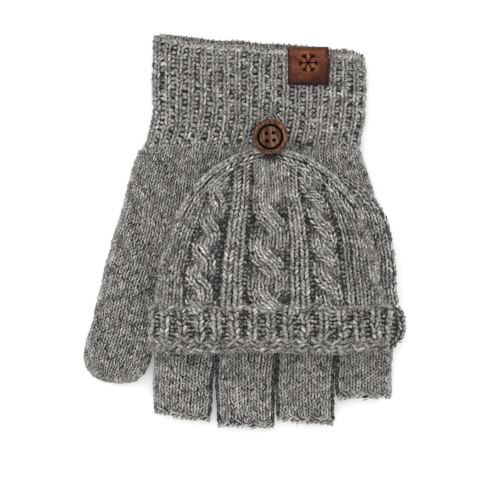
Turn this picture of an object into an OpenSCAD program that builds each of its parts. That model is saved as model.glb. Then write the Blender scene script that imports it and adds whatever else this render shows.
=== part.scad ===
// Convertible flip-top mitten (left hand), lying palm down, millimetres.
// +Y runs from the fingers to the cuff, +Z up off the palm, the thumb is on the -X side.

/* [Hand and cuff] */
// Thickness of the fine knitted wall
wall = 2.2; // [1.8:0.1:2.6]
// Height of the back of the hand above the palm face
hand_z = 12.2; // [12:0.2:14]
// Distance from the palm centre to the wrist
wrist_y = 38; // [34:1:40]
// Distance from the palm centre to the middle of the cuff's edge
cuff_y = 83.5; // [72:0.5:95]
// Height of the cuff
cuff_z = 13.2; // [12.6:0.2:15]
// How far the cuff's edge drops per millimetre across
cuff_slope = 0.045; // [0:0.005:0.08]
// How much further the palm side of the cuff reaches than the back
cuff_step = 1.7; // [0.5:0.1:3]
// Length of the cast-on edge
cuff_hem = 2.2; // [1.6:0.1:3]

/* [Fingers] */
// Y of the knuckle joints
knuckle_y = -42; // [-44:0.5:-40]
// Thickness of a flat finger
fin_t = 8.8; // [8.4:0.1:9]
// Wall of a finger
fin_wall = 1.9; // [1.6:0.1:2.1]
// Length of a rolled bind-off edge
hem_l = 2.8; // [2.2:0.1:3.4]
// Extra length of all four fingers
fin_extra = 0; // [-8:1:6]

/* [Thumb] */
// Length from the thumb joint to the tip
thumb_l = 49.5; // [42:0.5:56]
// Half width of the thumb
thumb_hw = 14.1; // [12:0.1:14.2]
// Height of the thumb
thumb_z = 11.7; // [10:0.1:12]
// Lean of the thumb away from the hand, degrees
thumb_lean = 15; // [12:0.5:17]

/* [Cap] */
// Wall of the thick cap yarn
cap_wall = 2.6; // [2.2:0.1:3]
// Depth of the pocket inside the cap
pocket = 9.9; // [9.5:0.1:14]
// Half width of the cap's front layer
cap_hw = 49.6; // [47:0.2:51]
// Y of the cap's crown
crown_y = 39.4; // [34:0.2:39.4]
// Width of the ribbed brim
brim_w = 19.2; // [14:0.2:24]
// Radius of the chain stitched edge
braid_r = 1.5; // [1:0.1:1.6]

/* [Button and label] */
// Button diameter
button_d = 15.2; // [12:0.2:18]
// Button thickness
button_t = 3.4; // [2.6:0.1:4]
// Y of the button's centre
button_y = 43.9; // [43:0.1:46]
// Hole diameter
hole_d = 1.7; // [1.2:0.1:2]
// Label width
label_w = 17.6; // [12:0.2:24]
// Label length over the front of the cuff
label_l = 16.6; // [12:0.2:22]
// Leather thickness
label_t = 1.3; // [1:0.1:1.6]

/* [Hidden] */
gap = 0.3;
fin_mid = 5.0;
fin_z0 = fin_mid - fin_t / 2;
fin_z1 = fin_mid + fin_t / 2;
root_r = fin_t / 2 + 0.1;
hinge_y = knuckle_y - 5.3;
hinge_z = hand_z + 0.2;
seam_r = 1.1;
under_z = hinge_z + 0.2;
under_t = 2.2;
under_top = under_z + under_t;
shell_z = under_top + pocket;
brim_y0 = hinge_y - 0.2;
brim_y1 = brim_y0 + brim_w;
thumb_c = [-57, -14];
thumb_r = thumb_hw + 0.3;
button_x = -0.4;
button_z = shell_z - 2.4;
shank_r = 1.4;
label_x = 16;
label_r = wall / 2 + 0.8;
label_yc = cuff_y - 3.5;
label_zc = cuff_z - wall / 2 - 0.5;
n = 32;

// a flattened round in the plane y, with its edge leaning by sl across and dy from top to bottom,
// and with its corners shaped by wp
function ring(y, xl, xr, z0, z1, p = 2.6, sl = 0, dy = 0, wp = 0) =
    [for (i = [0:n - 1]) let (c = cos(360 * i / n), s = sin(360 * i / n),
        u = sign(c) * pow(abs(c), 2 / p), v = sign(s) * pow(abs(s), 2 / p))
        [(xl + xr) / 2 + (xr - xl) / 2 * u,
         y - sl * (xr - xl) / 2 * u - dy * v + wp * (1.6 * pow(max(0, -u), 1.5) - 3.2 * pow(max(0, u), 8)),
         (z0 + z1) / 2 + (z1 - z0) / 2 * v]];

// an arch standing on the height z0
function arch(y, xl, xr, z0, z1, p = 3) =
    [for (i = [0:n]) let (c = cos(180 * i / n), s = sin(180 * i / n))
        [(xl + xr) / 2 + (xr - xl) / 2 * sign(c) * pow(abs(c), 2 / p), y,
         z0 + (z1 - z0) * pow(abs(s), 2 / p)]];

function quad(a, b, c, d) = [[a, b, c], [a, c, d]];

// a wall between outer and inner sections
module knit(o, i, closed = true) {
    m = len(o[0]);
    k = len(o);
    b = k * m;
    s = closed ? m - 1 : m - 2;
    pts = concat([for (r = o) for (p = r) p], [for (r = i) for (p = r) p]);
    faces = concat(
        [for (j = [0:k - 2]) for (t = [0:s]) let (u = (t + 1) % m)
            each quad(j * m + t, j * m + u, (j + 1) * m + u, (j + 1) * m + t)],
        [for (j = [0:k - 2]) for (t = [0:s]) let (u = (t + 1) % m)
            each quad(b + j * m + t, b + (j + 1) * m + t, b + (j + 1) * m + u, b + j * m + u)],
        [for (t = [0:s]) let (u = (t + 1) % m) each quad(t, b + t, b + u, u)],
        [for (t = [0:s]) let (u = (t + 1) % m, e = (k - 1) * m)
            each quad(e + t, e + u, b + e + u, b + e + t)],
        closed ? [] : [for (j = [0:k - 2])
            each quad(j * m, (j + 1) * m, b + (j + 1) * m, b + j * m)],
        closed ? [] : [for (j = [0:k - 2]) let (e = m - 1)
            each quad((j + 1) * m + e, j * m + e, b + j * m + e, b + (j + 1) * m + e)]);
    polyhedron(points = pts, faces = faces, convexity = 8);
}

module along_x(x0, x1, y, z, r) translate([x0, y, z]) rotate([0, 90, 0])
    cylinder(r = r, h = x1 - x0, $fn = 48);

// cuff: [distance up the cuff, left edge, right edge]
cuff_at = [[0, -56.3, 38.8], [0.11, -53.8, 38.7], [0.27, -51.8, 39.5], [0.66, -50.8, 41],
           [1, -50.4, 41.2]];
cuff_len = cuff_y - cuff_hem - wrist_y;

module cuff() color("gray") difference() {
    knit([for (a = cuff_at) ring(wrist_y + cuff_len * a[0], a[1], a[2], -0.2,
             hand_z + (cuff_z - hand_z) * min(1, a[0] * 3), 2.8, cuff_slope * a[0], cuff_step * a[0], a[0])],
         [for (a = cuff_at) ring(wrist_y + cuff_len * a[0], a[1] + 2.6, a[2] - 2.6, wall,
             hand_z - wall + (cuff_z - hand_z - 0.2) * min(1, a[0] * 3), 2.4,
             cuff_slope * a[0], cuff_step * a[0], a[0])]);
    translate([-90, -90, -2]) cube([180, 190, 2]);
}

module cuff_edge() color("dimgray") difference() {
    y = cuff_y - cuff_hem;
    knit([for (a = [[0, 0], [0.35, 0], [0.8, 0.4], [1, 1.1]])
             ring(y + cuff_hem * a[0], -50.4 + a[1], 41.2 - a[1], -0.2 + a[1], cuff_z - a[1], 2.8,
                  cuff_slope, cuff_step, 1)],
         [for (a = [[0, 0], [0.35, 0.2], [0.8, 0], [1, -0.5]])
             ring(y + cuff_hem * a[0], -47.8 + a[1], 38.6 - a[1], wall + 0.2 + a[1],
                  cuff_z - 0.2 - wall - a[1], 2.4, cuff_slope, cuff_step, 1)]);
    translate([-90, -90, -2]) cube([180, 190, 2]);
}

// hand: [y, left edge, right edge]
hand_at = [[hinge_y + seam_r + 0.2, -49.4, 51.4], [-34, -46.8, 51], [-22, -43.5, 50],
           [-17.8, -43.4, 49.6], [-14, -50, 49.2], [-8, -60, 48.7], [-3.9, -68.6, 48.4],
           [8.6, -65.8, 46.9], [22.4, -61.5, 44.3], [30, -59.4, 41.6], [wrist_y, -56.3, 38.8]];

module hand() color("darkgray") difference() {
    knit([for (a = hand_at) ring(a[0], a[1], a[2], -0.2, hand_z, a[0] > 30 ? 2.8 : 3)],
         [for (a = hand_at) ring(a[0], a[1] + 2.6, a[2] - 2.6, wall, hand_z - wall, 2.4)]);
    translate([-90, -90, -2]) cube([180, 190, 2]);
    along_x(-60, 60, knuckle_y, fin_mid, root_r + gap);
    translate([-60, knuckle_y - 20, -1]) cube([120, 20, fin_mid + root_r + gap + 1]);
    translate([-60, knuckle_y - 20, -1]) cube([120, 23.2, fin_mid + 1]);
    translate([thumb_c[0], thumb_c[1], -1]) cylinder(r = thumb_r + 0.4, h = 30, $fn = 64);
    translate([thumb_c[0], thumb_c[1], -1]) rotate([0, 0, 137]) cube([40, 40, 30]);
}

// fingers: [left edge, right edge, tip, splay, slant of the tip]
fingers = [[-49.0, -24.6, -75.6, 0.05, 0.12], [-23.0, 1.2, -80.8, 0, 0.05], [2.9, 27.1, -78.6, 0, 0.05],
           [28.6, 51.8, -68.6, -0.02, -0.02]];

module finger(f) {
    tip = f[2] - fin_extra + hem_l;
    steps = [0, 0.3, 0.65, 1];
    function yy(a) = tip + (knuckle_y + 6 - tip) * a;
    intersection() {
        knit([for (a = steps) let (y = yy(a), d = f[3] * (y - knuckle_y))
                 ring(y, f[0] + d, f[1] + d, fin_z0, fin_z1, 2.6, f[4] * (1 - a))],
             [for (a = steps) let (y = yy(a), d = f[3] * (y - knuckle_y))
                 ring(y, f[0] + d + fin_wall, f[1] + d - fin_wall, fin_z0 + fin_wall,
                      fin_z1 - fin_wall, 2.2, f[4] * (1 - a))]);
        union() {
            along_x(-60, 60, knuckle_y, fin_mid, root_r);
            translate([-60, knuckle_y - 60, -1]) cube([120, 60, 30]);
        }
    }
}

module finger_edge(f) {
    tip = f[2] - fin_extra;
    knit([for (a = [[1, 0.6], [0.7, 0.05], [0.3, 0], [0, 0.35]]) let (y = tip + hem_l * (1 - a[0]),
              d = f[3] * (y - knuckle_y), e = 0.35 - a[1] * 0.9)
              ring(y, f[0] + d + a[1] / 2, f[1] + d - a[1] / 2, fin_z0 - e, fin_z1 + e, 2.6, f[4])],
         [for (a = [[1, 0.5], [0.7, 0], [0.3, 0], [0, 0]]) let (y = tip + hem_l * (1 - a[0]),
              d = f[3] * (y - knuckle_y))
              ring(y, f[0] + d + fin_wall - a[1], f[1] + d - fin_wall + a[1],
                   fin_z0 + fin_wall - a[1], fin_z1 - fin_wall + a[1], 2.2, f[4])]);
}

module index_finger() color("silver") finger(fingers[0]);
module index_edge() color("gray") finger_edge(fingers[0]);
module middle_finger() color("silver") finger(fingers[1]);
module middle_edge() color("gray") finger_edge(fingers[1]);
module ring_finger() color("silver") finger(fingers[2]);
module ring_edge() color("gray") finger_edge(fingers[2]);
module little_finger() color("silver") finger(fingers[3]);
module little_edge() color("gray") finger_edge(fingers[3]);

// thumb sections: [share of the length, share of the width]
thumb_at = [[1, 0.12], [0.985, 0.4], [0.95, 0.68], [0.89, 0.88], [0.8, 0.985], [0.6, 1],
            [0.3, 1], [-0.32, 1]];

module thumb() color("silver") translate([thumb_c[0], thumb_c[1], 0])
    rotate([0, 0, -thumb_lean]) intersection() {
        knit([for (a = thumb_at) let (w = thumb_hw * a[1], h = (thumb_z / 2 - 0.2) * (0.35 + 0.65 * a[1]))
                 ring(-thumb_l * a[0], -w, w, thumb_z / 2 + 0.1 - h, thumb_z / 2 + 0.1 + h)],
             [for (a = thumb_at) let (w = max(0.5, thumb_hw * a[1] - wall),
                  h = max(0.5, (thumb_z / 2 - 0.2) * (0.35 + 0.65 * a[1]) - wall))
                 ring(-thumb_l * a[0] + wall * pow(max(0, a[0]), 6), -w, w,
                      thumb_z / 2 + 0.1 - h, thumb_z / 2 + 0.1 + h, 2.2)]);
        union() {
            cylinder(r = thumb_r, h = 30, $fn = 64);
            translate([-40, -80, -1]) cube([80, 80, 30]);
        }
    }

// cap outline: half width as a share, from the brim (0) to the crown (1)
function dome(t, a = 2.6) = sqrt(max(0, 1 - pow(t, a)));
front_t = [0, 0.2, 0.36, 0.5, 0.62, 0.72, 0.8, 0.87, 0.93, 0.975];
// height of the front layer's inside above its foot
function puff(t) = 0.5 + (shell_z - under_top - 2 * braid_r - 0.6) * dome(t, 3.4);
function front_y(t) = brim_y0 + (crown_y - brim_y0) * t;
front_from = (brim_y1 - brim_y0) / (crown_y - brim_y0);
function front_s(t) = front_from + (1 - front_from) * t;

module cap_front() color("lightgray") {
    foot = under_top + 2 * braid_r + 0.1;
    knit([for (t = front_t) let (s = front_s(t), w = cap_hw * dome(s))
             arch(front_y(s), -0.8 - w, -0.8 + w, foot, foot + puff(s) + min(cap_wall, 2 + 2 * (1 - t)))],
         [for (t = front_t) let (s = front_s(t), w = cap_hw * dome(s) - cap_wall)
             arch(front_y(s), -0.8 - w, -0.8 + w, foot, foot + puff(s))], closed = false);
}

module cap_brim() color("darkgray")
    knit([for (a = [0, 0.12, 0.88, 1]) let (e = abs(a - 0.5) > 0.45 ? 0.4 : 0)
             arch(brim_y0 + brim_w * a, -51.8 + e, 50.4 - e, under_top + 0.1, shell_z + cap_wall + 0.4 - e)],
         [for (a = [0, 0.12, 0.88, 1])
             arch(brim_y0 + brim_w * a, -49.2, 47.8, under_top + 0.1, shell_z)], closed = false);

// back layer of the cap, lying on the back of the hand
module cap_back() color("gray") {
    y0 = brim_y1 + 0.1;
    y1 = button_y - 5.4;
    base = hinge_y + seam_r;
    k = 28;
    side = [for (i = [0:k]) let (y = y0 + (y1 - y0) * sin(90 * i / k), t = (y - base) / (y1 - base))
               [4 - 3 * t - 51.4 * dome(t, 3),
                4 - 3 * t + 51.4 * dome(t, 3 + 1.5 * min(1, max(0, (30 - y) / 15))), y]];
    translate([0, 0, under_z]) linear_extrude(under_t)
        polygon(concat([for (s = side) [s[1], s[2]]], [for (i = [k - 1:-1:0]) [side[i][0], side[i][2]]]));
}

module cap_back_band() color("dimgray") {
    y0 = hinge_y + seam_r + gap;
    translate([0, 0, under_z]) linear_extrude(under_t) hull() {
        translate([-47, y0]) square([96, brim_y1 - y0]);
        for (y = [y0 + 6, brim_y1 - 6]) translate([51.5, y]) circle(r = 6, $fn = 48);
    }
}

// chain stitched edge that joins the two layers round the cap
module cap_chain() color("lightgray") {
    k = 44;
    c = [for (i = [0:k]) let (a = -180 * i / k, s = front_from + 0.005 + (0.985 - front_from) * sin(-a),
             w = (cap_hw - cap_wall / 2) * dome(s)) [-0.8 + (i < k / 2 ? w : -w), front_y(s)]];
    m = 10;
    pts = [for (i = [0:k]) let (d = c[min(k, i + 1)] - c[max(0, i - 1)], l = norm(d))
              for (j = [0:m - 1]) [c[i][0] + braid_r * cos(360 * j / m) * d[1] / l,
                                   c[i][1] - braid_r * cos(360 * j / m) * d[0] / l,
                                   under_top + braid_r + 0.02 + braid_r * sin(360 * j / m)]];
    polyhedron(points = pts, convexity = 6, faces = concat(
        [[for (j = [0:m - 1]) j]], [[for (j = [m - 1:-1:0]) k * m + j]],
        [for (i = [0:k - 1]) for (j = [0:m - 1]) let (u = (j + 1) % m)
            each quad(i * m + j, (i + 1) * m + j, (i + 1) * m + u, i * m + u)]));
}

module cap_seam() color("dimgray") along_x(-46, 50.5, hinge_y, hinge_z, seam_r);

module button() color("saddlebrown") translate([button_x, button_y, button_z]) difference() {
    r = button_d / 2;
    rotate_extrude($fn = 96) polygon([[0, 0], [r - 1.2, 0], [r, 1.1], [r, button_t - 1.1],
        [r - 0.7, button_t - 0.3], [r - 1.5, button_t], [5.7, button_t - 0.2],
        [5.5, button_t - 1.1], [5.1, button_t - 1.1], [4.9, button_t - 0.5], [0, button_t - 0.7]]);
    for (a = [0:90:270]) rotate([0, 0, a + 50]) translate([2.2, 0, -1])
        cylinder(d = hole_d, h = button_t + 2, $fn = 24);
}

// shank and the ends of thread that come up in the holes
module button_thread() color("sienna") translate([button_x, button_y, 0]) {
    foot = cuff_z + 0.3 + shank_r;
    translate([0, 0, foot]) sphere(r = shank_r, $fn = 32);
    translate([0, 0, foot]) cylinder(r = shank_r, h = button_z - foot - 0.6, $fn = 32);
    translate([0, 0, button_z - 0.8]) cylinder(r = 3, h = 0.8, $fn = 32);
    for (a = [0:90:270]) rotate([0, 0, a + 50]) translate([2.2, 0, button_z - 0.4])
        cylinder(d = hole_d - 0.3, h = button_t - 1, $fn = 16);
}

module button_loop() color("gainsboro") {
    z = under_top + 1.9;
    r = 0.9;
    y0 = crown_y + 0.6;
    y1 = 48;
    for (s = [-1, 1]) translate([0.6 + s * 4.2, y0, z]) rotate([-90, 0, 0])
        cylinder(r = r, h = y1 - y0, $fn = 24);
    translate([0.6, y1, z]) rotate_extrude(angle = 180, $fn = 64) translate([4.2, 0])
        circle(r = r, $fn = 24);
}

module label_tab() color("sienna") {
    x0 = label_x - label_w / 2;
    translate([x0, label_yc + label_r + label_t - label_l, label_zc + label_r])
        cube([label_w, label_l - label_r - label_t, label_t]);
    translate([x0, label_yc - 9, label_zc - label_r - label_t]) cube([label_w, 9, label_t]);
    difference() {
        along_x(x0, x0 + label_w, label_yc, label_zc, label_r + label_t);
        along_x(x0 - 1, x0 + label_w + 1, label_yc, label_zc, label_r);
        translate([x0 - 1, label_yc - 10, label_zc - 10]) cube([label_w + 2, 10, 20]);
    }
}

module label_stitches() color("black") {
    y = label_yc + label_r + label_t - label_l + 1.6;
    z = label_zc + label_r + label_t;
    k = 6;
    for (i = [0:k - 1]) translate([label_x - label_w / 2 + 1.2 + i * (label_w - 2.4) / k + 0.4,
                                   y - 0.3, z])
        cube([(label_w - 2.4) / k - 0.8, 0.6, 0.4]);
}

cuff();
cuff_edge();
hand();
index_finger();
index_edge();
middle_finger();
middle_edge();
ring_finger();
ring_edge();
little_finger();
little_edge();
thumb();
cap_front();
cap_brim();
cap_back();
cap_back_band();
cap_chain();
cap_seam();
button();
button_thread();
button_loop();
label_tab();
label_stitches();
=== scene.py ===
import bpy
import math
import numpy as np
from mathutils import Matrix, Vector


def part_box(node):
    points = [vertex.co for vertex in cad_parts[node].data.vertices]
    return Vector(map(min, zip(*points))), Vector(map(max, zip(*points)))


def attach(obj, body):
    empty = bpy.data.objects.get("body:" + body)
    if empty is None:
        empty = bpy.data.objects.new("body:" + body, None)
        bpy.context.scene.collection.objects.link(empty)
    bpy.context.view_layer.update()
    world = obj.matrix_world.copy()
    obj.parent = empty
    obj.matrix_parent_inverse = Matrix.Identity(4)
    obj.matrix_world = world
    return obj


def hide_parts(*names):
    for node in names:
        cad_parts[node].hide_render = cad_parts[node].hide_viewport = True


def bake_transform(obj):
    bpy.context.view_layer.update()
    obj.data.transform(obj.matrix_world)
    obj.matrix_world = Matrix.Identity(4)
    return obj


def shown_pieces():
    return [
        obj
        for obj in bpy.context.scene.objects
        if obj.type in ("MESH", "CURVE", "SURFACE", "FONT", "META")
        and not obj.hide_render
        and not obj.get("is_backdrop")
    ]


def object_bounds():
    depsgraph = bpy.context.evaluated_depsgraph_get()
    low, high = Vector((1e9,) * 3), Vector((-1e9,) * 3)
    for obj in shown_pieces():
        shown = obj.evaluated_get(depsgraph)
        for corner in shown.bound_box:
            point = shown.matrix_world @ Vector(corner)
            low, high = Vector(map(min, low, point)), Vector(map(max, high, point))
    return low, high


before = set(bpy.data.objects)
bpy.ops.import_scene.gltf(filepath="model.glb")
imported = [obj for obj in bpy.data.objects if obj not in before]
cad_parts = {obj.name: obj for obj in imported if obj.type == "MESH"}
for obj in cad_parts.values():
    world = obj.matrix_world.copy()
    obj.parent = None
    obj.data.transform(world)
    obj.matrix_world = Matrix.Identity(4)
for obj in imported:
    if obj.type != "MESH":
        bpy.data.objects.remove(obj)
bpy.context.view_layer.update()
rng = np.random.default_rng(7)
mm = 0.001
# a knitted mitten laid stitch by stitch on forms that follow the CAD nodes, lengths in mm unless noted


def boxOf(node):  # low and high corner of a node, mm
    lo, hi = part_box(node)
    return np.array(lo) / mm, np.array(hi) / mm


# materials


def toLinear(hexColour):
    rgb = [int(hexColour[i:i + 2], 16) / 255 for i in (1, 3, 5)]
    return [c / 12.92 if c <= 0.04045 else ((c + 0.055) / 1.055) ** 2.4 for c in rgb] + [1]


def addNode(tree, kind, links=None, numbers=None, **settings):  # links and numbers go by socket
    n = tree.nodes.new(kind)
    for socket, value in (numbers or {}).items():
        n.inputs[socket].default_value = value
    for key, value in settings.items():
        if key in n.inputs:
            n.inputs[key].default_value = value
        else:
            setattr(n, key, value)
    for socket, source in (links or {}).items():
        tree.links.new(source, n.inputs[socket])
    return n


def newMaterial(name, rough):
    mat = bpy.data.materials.new(name)
    mat.use_nodes = True
    shader = mat.node_tree.nodes["Principled BSDF"]
    shader.inputs["Roughness"].default_value = rough
    return mat, mat.node_tree, shader


def ramp(tree, source, stops):
    r = addNode(tree, "ShaderNodeValToRGB", {"Fac": source})
    while len(r.color_ramp.elements) < len(stops):
        r.color_ramp.elements.new(0.5)
    for e, (pos, col) in zip(r.color_ramp.elements, stops):
        e.position, e.color = pos, toLinear(col)
    return r.outputs["Color"]


# carded wool yarn, dyed in the fleece: dark and pale flecks, a faint tint to them, matt and slightly hairy


def wool(name, dark, mid, light, fibre):  # fibre is the size of a fleck in mm
    mat, tree, shader = newMaterial(name, 0.92)
    at = addNode(tree, "ShaderNodeTexCoord").outputs["Object"]
    tone = addNode(tree, "ShaderNodeAttribute", attribute_name="tone").outputs["Fac"]  # yarn tone, with painted shade added in dips, creases, under-strands and shaded sides
    fleck = addNode(tree, "ShaderNodeTexNoise", {"Vector": at}, Scale=1000 / fibre, Detail=3.0, Roughness=0.7)
    patch = addNode(tree, "ShaderNodeTexNoise", {"Vector": at}, Scale=1000 / (fibre * 7), Detail=2.0)
    both = addNode(tree, "ShaderNodeMath", {0: fleck.outputs["Fac"], 1: tone}, operation="ADD")
    shade = addNode(tree, "ShaderNodeMath", {0: patch.outputs["Fac"], 2: both.outputs[0]}, {1: 0.3},
                    operation="MULTIPLY_ADD")
    level = addNode(tree, "ShaderNodeMath", {0: shade.outputs[0]}, {1: 0.15}, operation="SUBTRACT")
    grey = ramp(tree, level.outputs[0], [(0.36, dark), (0.47, mid), (0.55, mid), (0.67, light)])
    dye = addNode(tree, "ShaderNodeTexNoise", {"Vector": at}, Scale=1000 / (fibre * 2.6), Detail=2.0)
    tints = [(0.3, "#f6fdf4"), (0.45, "#ffffff"), (0.55, "#fffefd"), (0.7, "#fff0ea")]
    cast = ramp(tree, dye.outputs["Fac"], tints)
    dyed = addNode(tree, "ShaderNodeMixRGB", {"Color1": grey, "Color2": cast}, blend_type="MULTIPLY", Fac=1.0)
    tree.links.new(dyed.outputs["Color"], shader.inputs["Base Color"])
    hair = addNode(tree, "ShaderNodeTexNoise", {"Vector": at}, Scale=1000 / (fibre * 0.45), Detail=2.0)
    bump = addNode(tree, "ShaderNodeBump", {"Height": hair.outputs["Fac"]}, Strength=0.5, Distance=0.0002)
    tree.links.new(bump.outputs["Normal"], shader.inputs["Normal"])
    shader.inputs["Specular IOR Level"].default_value = 0.15
    return mat


heatherWool = wool("heatherWool", "#333232", "#969492", "#e0dedc", 0.55)
heatherThick = wool("heatherThick", "#302f2f", "#959391", "#e2e0de", 0.65)
# painted shade: dark wool for the sheets under the stitches and inside cords, showing as shade in the gaps
# between stitches
shadeBacking = wool("shadeBackingWool", "#1b1a1a", "#3a3938", "#62605f", 0.6)
print("wool mixed")

# one stitch of each kind, modelled once


def clearSelection():
    bpy.ops.object.select_all(action="DESELECT")


def selectVerts(obj, test):
    bpy.ops.object.mode_set(mode="OBJECT")
    for v in obj.data.vertices:
        v.select = bool(test(v.co))
    bpy.ops.object.mode_set(mode="EDIT")


def grain(length, width, height, lean, x, taper=0.75):  # one yarn leg of a stitch, long along Y
    clearSelection()
    bpy.ops.mesh.primitive_uv_sphere_add(segments=5, ring_count=4, radius=1, rotation=(math.pi / 2, 0, 0))
    leg = bpy.context.object
    bpy.ops.object.transform_apply(location=False, rotation=True, scale=False)
    bpy.ops.object.mode_set(mode="EDIT")
    bpy.ops.mesh.select_mode(type="VERT")
    selectVerts(leg, lambda c: c.y < -0.3)
    bpy.ops.transform.resize(value=(taper, 1, 1))
    bpy.ops.mesh.select_all(action="SELECT")
    bpy.ops.transform.resize(value=(width, length, height))
    bpy.ops.transform.rotate(value=lean, orient_axis="Z", center_override=(0, 0, 0))
    bpy.ops.transform.translate(value=(x, 0, 0))
    bpy.ops.object.mode_set(mode="OBJECT")
    return leg


def joined(name, legs):
    clearSelection()
    for leg in legs:
        leg.select_set(True)
    bpy.context.view_layer.objects.active = legs[0]
    if len(legs) > 1:
        bpy.ops.object.join()
    legs[0].name = name
    me = legs[0].data
    verts = np.array([v.co for v in me.vertices])
    faces = [list(p.vertices) for p in me.polygons]
    part = np.arange(len(verts)) * len(legs) // len(verts)
    bpy.data.objects.remove(legs[0])
    return {"verts": verts, "faces": faces, "part": part, "legs": len(legs)}


# knit stitch is a V that points to the finger ends, purl is a bar across
knitV = joined("knitV", [grain(0.73, 0.235, 0.34, s * 0.23, s * 0.25) for s in (-1, 1)])
thickV = joined("thickV", [grain(0.76, 0.245, 0.34, s * 0.19, s * 0.25) for s in (-1, 1)])
ribV = joined("ribV", [grain(0.74, 0.255, 0.34, s * 0.17, s * 0.24) for s in (-1, 1)])
purlBar = joined("purlBar", [grain(0.36, 0.58, 0.3, 0, 0, taper=0.9)])
singleLeg = joined("singleLeg", [grain(0.7, 0.34, 0.34, 0, 0)])
clearSelection()
bpy.ops.mesh.primitive_cone_add(vertices=3, radius1=1, depth=1, location=(0, 0.5, 0),
                                rotation=(-math.pi / 2, 0, 0))
bpy.ops.object.transform_apply(location=True, rotation=True, scale=True)
fibre = joined("fibre", [bpy.context.object])
print("stitches modelled")


def unit(a):
    return a / np.maximum(np.linalg.norm(a, axis=-1, keepdims=True), 1e-9)


# a stitch's place, its way along the yarn, its way up, then width, length and height in mm


def cells(p, t, n, w, l, h, lean=0, lift=0, jitter=0.05, tone=0.0):
    count = len(p)
    one = np.ones(count)
    w, l, h, lean, lift = (np.asarray(a, float) * one for a in (w, l, h, lean, lift))
    t = unit(t - (t * n).sum(1)[:, None] * n)
    b = np.cross(t, n)
    lean = lean + rng.normal(0, jitter, count)
    t, b = (np.cos(lean)[:, None] * t + np.sin(lean)[:, None] * b,
            np.cos(lean)[:, None] * b - np.sin(lean)[:, None] * t)
    p = p + lift[:, None] * n + rng.normal(0, jitter, (count, 3)) * w[:, None]
    grow = 1 + rng.normal(0, jitter, (count, 3))
    return {"at": p, "way": t, "side": b, "up": n, "wide": w * grow[:, 0], "long": l * grow[:, 1],
            "tall": h * grow[:, 2], "tone": tone * one}


def keep(c, mask):  # only these cells
    return {k: v[mask] for k, v in c.items()}


def together(*several):  # cells of several pieces in one
    return {k: np.concatenate([c[k] for c in several]) for k in several[0]}


def buildMesh(name, verts, sizes, corners, material, tone=None):  # verts in mm, corners face after face
    me = bpy.data.meshes.new(name)
    me.vertices.add(len(verts))
    me.vertices.foreach_set("co", (verts * mm).astype(np.float32).ravel())
    me.loops.add(len(corners))
    me.loops.foreach_set("vertex_index", corners.astype(np.int32))
    me.polygons.add(len(sizes))
    me.polygons.foreach_set("loop_start", np.concatenate([[0], np.cumsum(sizes)[:-1]]).astype(np.int32))
    me.polygons.foreach_set("use_smooth", np.full(len(sizes), True))
    me.update()
    me.validate()
    if tone is not None:
        me.attributes.new("tone", "FLOAT", "POINT").data.foreach_set("value", tone.ravel().astype(np.float32))
    me.materials.append(material)
    obj = bpy.data.objects.new(name, me)
    bpy.context.scene.collection.objects.link(obj)
    return obj


def layStitches(name, shape, c, material, spread=0.045, shade=0.0, deep=0.1):  # a stitch in each cell, deep sets the painted shade where the yarn dips
    v = shape["verts"]
    count, nv = len(c["at"]), len(v)
    at = (c["at"][:, None]
          + (v[None, :, 0:1] * c["wide"][:, None, None]) * c["side"][:, None]
          + (v[None, :, 1:2] * c["long"][:, None, None]) * c["way"][:, None]
          + (v[None, :, 2:3] * c["tall"][:, None, None]) * c["up"][:, None])
    corners = np.concatenate([np.asarray(f) for f in shape["faces"]])
    corners = (corners[None] + np.arange(count)[:, None] * nv).ravel()
    sizes = np.tile([len(f) for f in shape["faces"]], count)
    high = np.clip(v[:, 2] / v[:, 2].max(), -0.6, 1) - 0.5  # painted shade where the yarn dips, painted light on its top
    yarn = rng.normal(shade, spread, (count, shape["legs"]))[:, shape["part"]]
    tone = yarn + deep * high[None] + c["tone"][:, None]
    return buildMesh(name, at.reshape(-1, 3), sizes, corners, material, tone)


# forms the fabric lies on


def signedPower(a, p):
    return np.sign(a) * np.abs(a) ** p


def smoothRows(rows, ys, soft):  # stations interpolated and rounded
    rows = np.array(rows, float)
    out = [np.interp(ys, rows[:, 0], rows[:, k]) for k in range(1, rows.shape[1])]
    if soft > 0:
        d = (ys[:, None] - ys[None]) / soft
        g = np.exp(-0.5 * d * d)
        g /= g.sum(1, keepdims=True)
        out = [g @ o for o in out]
    return out


def lengthAlong(line):  # distance from the start at each point
    return np.concatenate([[0], np.cumsum(np.linalg.norm(np.diff(line, axis=0), axis=1))])


def evenly(line, n, closed):  # the same line with points at equal distances
    pts = np.vstack([line, line[:1]]) if closed else line
    s = lengthAlong(pts)
    at = np.linspace(0, s[-1], n + 1)[:-1] if closed else np.linspace(0, s[-1], n)
    return np.stack([np.interp(at, s, pts[:, k]) for k in range(3)], 1), s[-1]


def sway(p):  # hand-made unevenness that all the pieces share, mm
    x, y = p[..., 0], p[..., 1]
    dx = 0.34 * np.sin(y / 7.3 + 0.8) + 0.22 * np.sin(x / 5.1 + y / 9.7) + 0.14 * np.sin(y / 2.9 + x / 4.3)
    dy = 0.3 * np.sin(x / 8.9 + 1.9) + 0.2 * np.sin(x / 4.2 - y / 11.0) + 0.14 * np.sin(x / 2.6 + 0.7)
    dz = 0.22 * np.sin(x / 10.7 + y / 6.4) + 0.14 * np.sin(x / 3.9 - y / 5.2)
    return np.stack([dx, dy, dz * np.clip(p[..., 2] / 6, 0, 1)], -1)


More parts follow.
